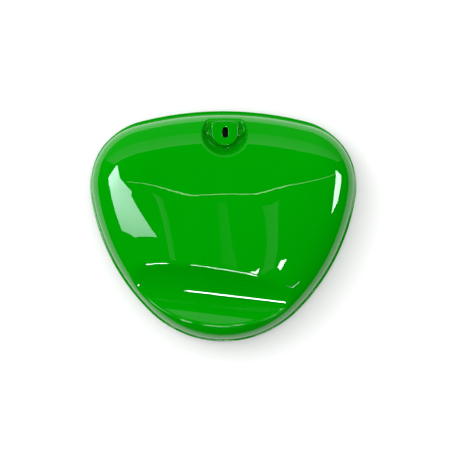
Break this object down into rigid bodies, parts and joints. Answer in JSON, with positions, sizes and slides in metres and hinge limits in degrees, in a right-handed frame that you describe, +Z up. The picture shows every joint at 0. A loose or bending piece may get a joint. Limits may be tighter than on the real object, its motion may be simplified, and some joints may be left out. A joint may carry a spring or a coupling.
{
  "type": "locking side cover",
  "caption": "Domed rounded-triangle sheet-steel cover for a motorcycle tool box, with a recessed quarter-turn key lock at the top, a stepped scoop, a rubber rim seal and hooks at the bottom.",
  "frame": {"origin": "centre of the rim seat, on the back face of the rim seal, at the middle of the cover's height and width", "axes": "+Z up as mounted, towards the lock; +X to the right seen from outside; the face looks along -Y and +Y points into the tool box"},
  "size_m": [0.287, 0.0592, 0.2485],
  "materials": {
    "green_paint": "high gloss green enamel",
    "rubber": "matte black moulded rubber",
    "fibre": "brown vulcanised fibre",
    "zinc_plate": "zinc-plated steel, satin",
    "die_cast_zinc": "die-cast zinc, slightly grainy",
    "bright_steel": "bright spring steel",
    "black_plate": "satin black"
  },
  "bodies": {
    "cover": {"cover_skin": "green_paint", "rim_seal": "rubber", "lock_escutcheon": "green_paint", "lock_rivets": "green_paint", "housing_gasket": "fibre", "lock_backing_plate": "zinc_plate", "lock_housing": "die_cast_zinc", "shutter_pin": "bright_steel", "shutter_spring": "bright_steel", "left_hook": "zinc_plate", "right_hook": "zinc_plate", "left_hook_sleeve": "rubber", "right_hook_sleeve": "rubber"},
    "lock_cylinder": {"lock_plug": "die_cast_zinc", "plug_o_ring": "rubber", "spring_washer": "bright_steel", "plug_circlip": "bright_steel", "stop_washer": "zinc_plate", "latch_tongue": "zinc_plate", "tongue_lock_washer": "bright_steel", "tongue_nut": "zinc_plate"},
    "shutter": {"dust_shutter": "black_plate"}
  },
  "joints": [
    {"name": "lock_turn", "type": "hinge", "parent": "cover", "child": "lock_cylinder", "pos_m": [0.0017, -0.01, 0.0982], "axis": [0, 1, 0], "range_deg": [0, 90]},
    {"name": "shutter_swing", "type": "hinge", "parent": "cover", "child": "shutter", "pos_m": [0.0017, -0.0321, 0.1064], "axis": [1, 0, 0], "range_deg": [0, 84], "stiffness_Nm_per_rad": 0.0006, "springref_deg": -34.38, "deforming": ["shutter_spring"]}
  ]
}
